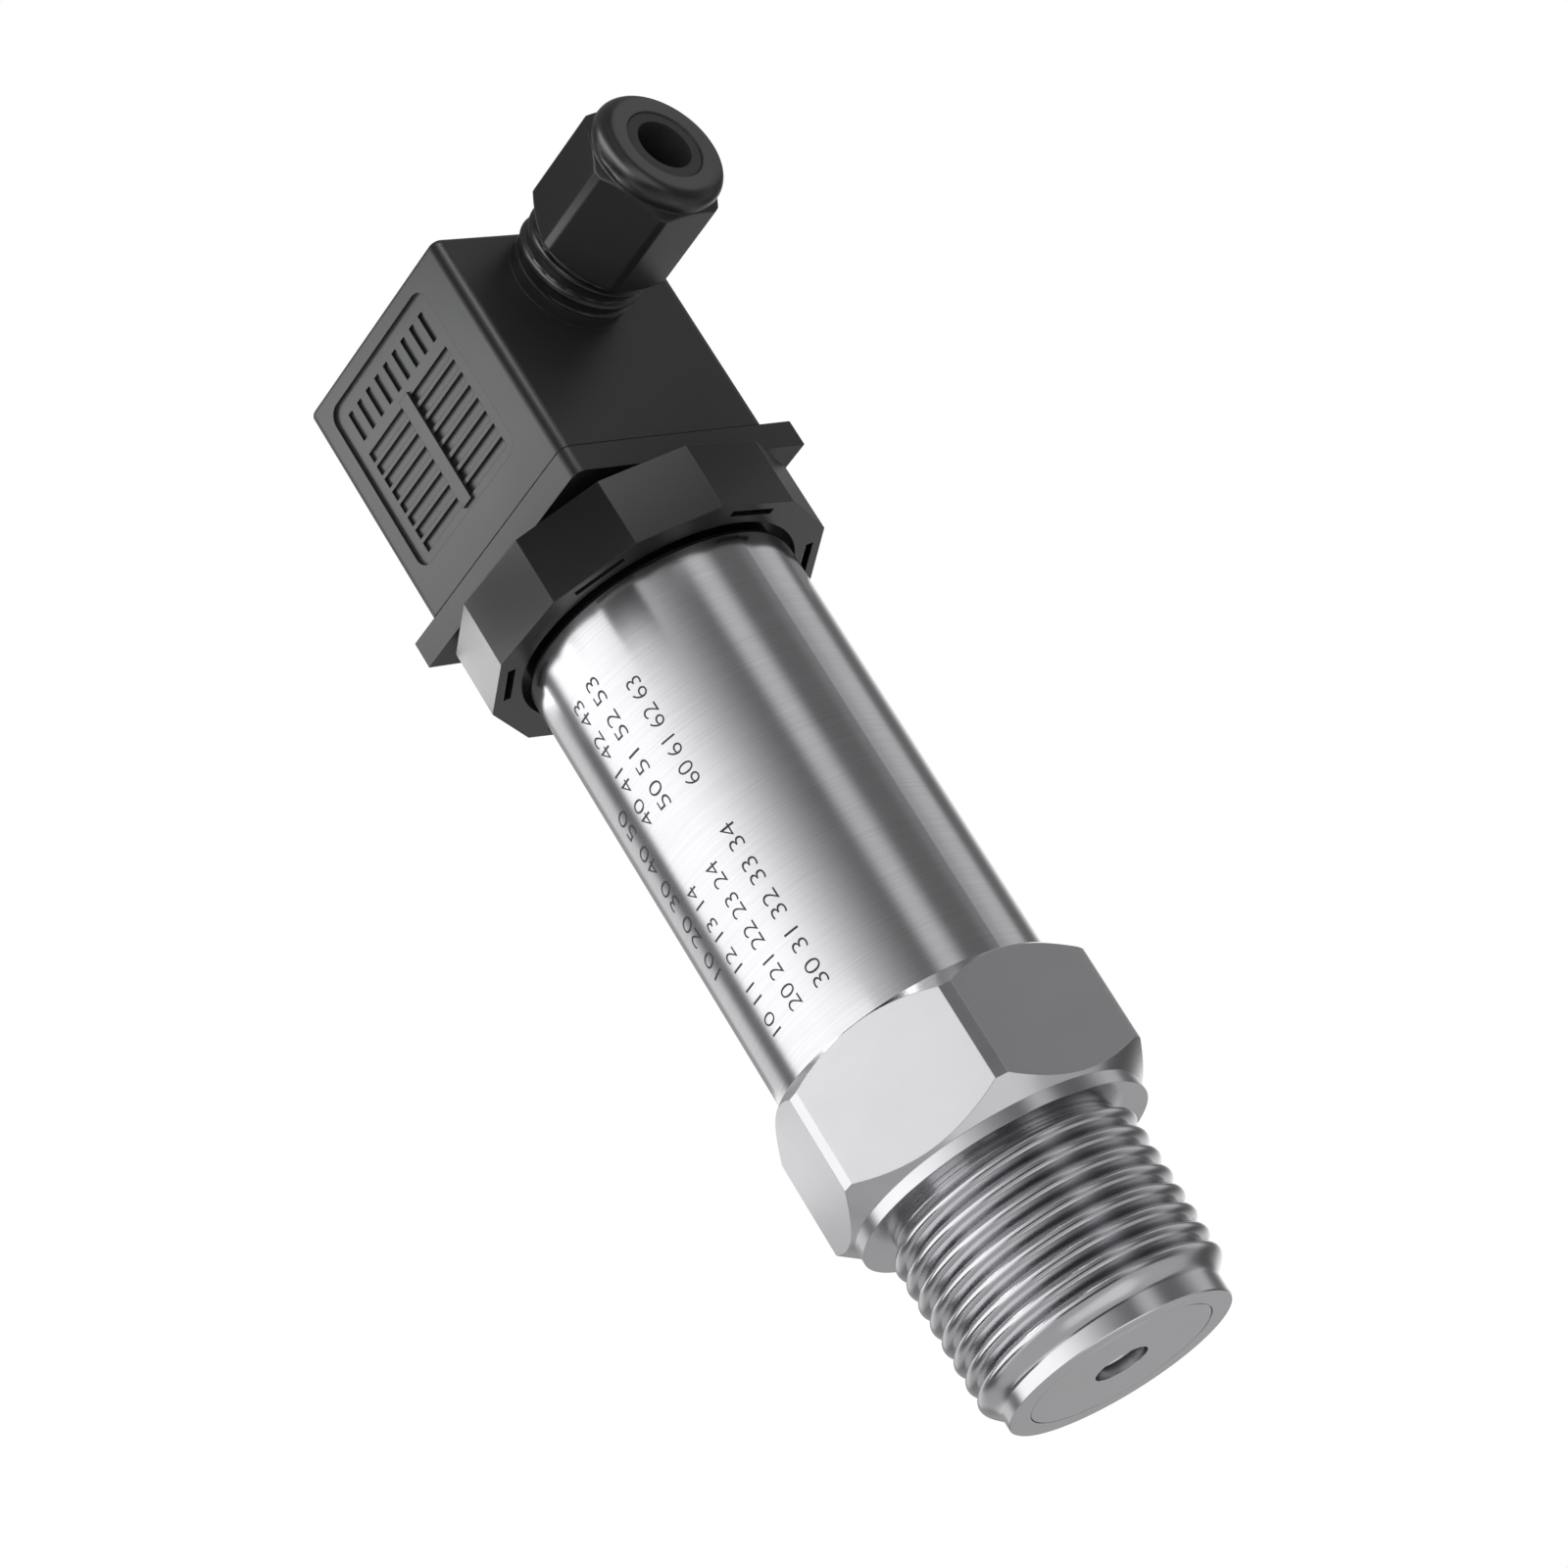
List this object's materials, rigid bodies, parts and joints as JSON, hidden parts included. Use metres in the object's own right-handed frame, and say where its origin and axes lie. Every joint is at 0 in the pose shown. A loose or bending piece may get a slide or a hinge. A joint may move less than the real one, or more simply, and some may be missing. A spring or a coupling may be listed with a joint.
{
  "type": "pressure transmitter",
  "caption": "Stainless pressure transmitter with a male thread, hexagon, round body tube, black lock ring and a square side-entry cable plug with a gland.",
  "frame": {"origin": "centre of the flat end face of the threaded end, at the mouth of the pressure port", "axes": "+Z along the body from the port to the plug, +X along the cable gland, -Y out of the ribbed side of the plug"},
  "size_m": [0.0524, 0.0372, 0.1284],
  "materials": {
    "turned_stainless": "turned and milled, satin",
    "brushed_stainless": "fine brushed round the tube",
    "cell_steel": "turned",
    "black_rubber": "moulded, matt",
    "tinned_contact": "tin plated",
    "circuit_laminate": "solder mask",
    "black_nylon": "moulded, fine matt",
    "grey_nylon": "moulded, matt",
    "chip_resin": "moulded epoxy",
    "capacitor_can": "drawn can",
    "wire_jacket": "extruded jacket",
    "clamp_brass": "milled",
    "plated_screw": "zinc plated"
  },
  "bodies": {
    "transmitter": {"process_fitting": "turned_stainless", "port_disc": "turned_stainless", "sensor_cell": "cell_steel", "cell_oring": "black_rubber", "sensor_pins": "tinned_contact", "cell_retainer": "cell_steel", "sensor_board": "circuit_laminate", "circuit_board": "circuit_laminate", "pin_header": "black_nylon", "signal_chips": "chip_resin", "filter_capacitors": "capacitor_can", "lead_wires": "wire_jacket", "body_tube": "brushed_stainless", "connector_base": "black_nylon", "base_oring": "black_rubber", "contact_blades": "tinned_contact", "earth_blade": "tinned_contact", "insert_nut": "clamp_brass", "flat_gasket": "black_rubber"},
    "lock_ring": {"ring_nut": "black_nylon"},
    "plug": {"plug_cover": "black_nylon", "terminal_block": "grey_nylon", "terminal_clamps": "clamp_brass", "terminal_screws": "plated_screw", "screw_seal": "black_rubber", "cable_seal": "black_rubber", "thrust_ring": "grey_nylon"},
    "plug_screw": {"centre_screw": "plated_screw"},
    "gland": {"gland_nut": "black_nylon"}
  },
  "joints": [
    {"name": "plug_lift", "type": "slide", "parent": "transmitter", "child": "plug", "axis": [0, 0, 1], "range_m": [0, 0.02]},
    {"name": "screw_turn", "type": "hinge", "parent": "plug", "child": "plug_screw", "pos_m": [0, 0, 0.1246], "axis": [0, 0, 1], "continuous": true},
    {"name": "gland_turn", "type": "hinge", "parent": "plug", "child": "gland", "pos_m": [0.02545, 0, 0.121], "axis": [1, 0, 0], "continuous": true},
    {"name": "ring_turn", "type": "hinge", "parent": "transmitter", "child": "lock_ring", "pos_m": [0, 0, 0.0921], "axis": [0, 0, 1], "continuous": true}
  ]
}
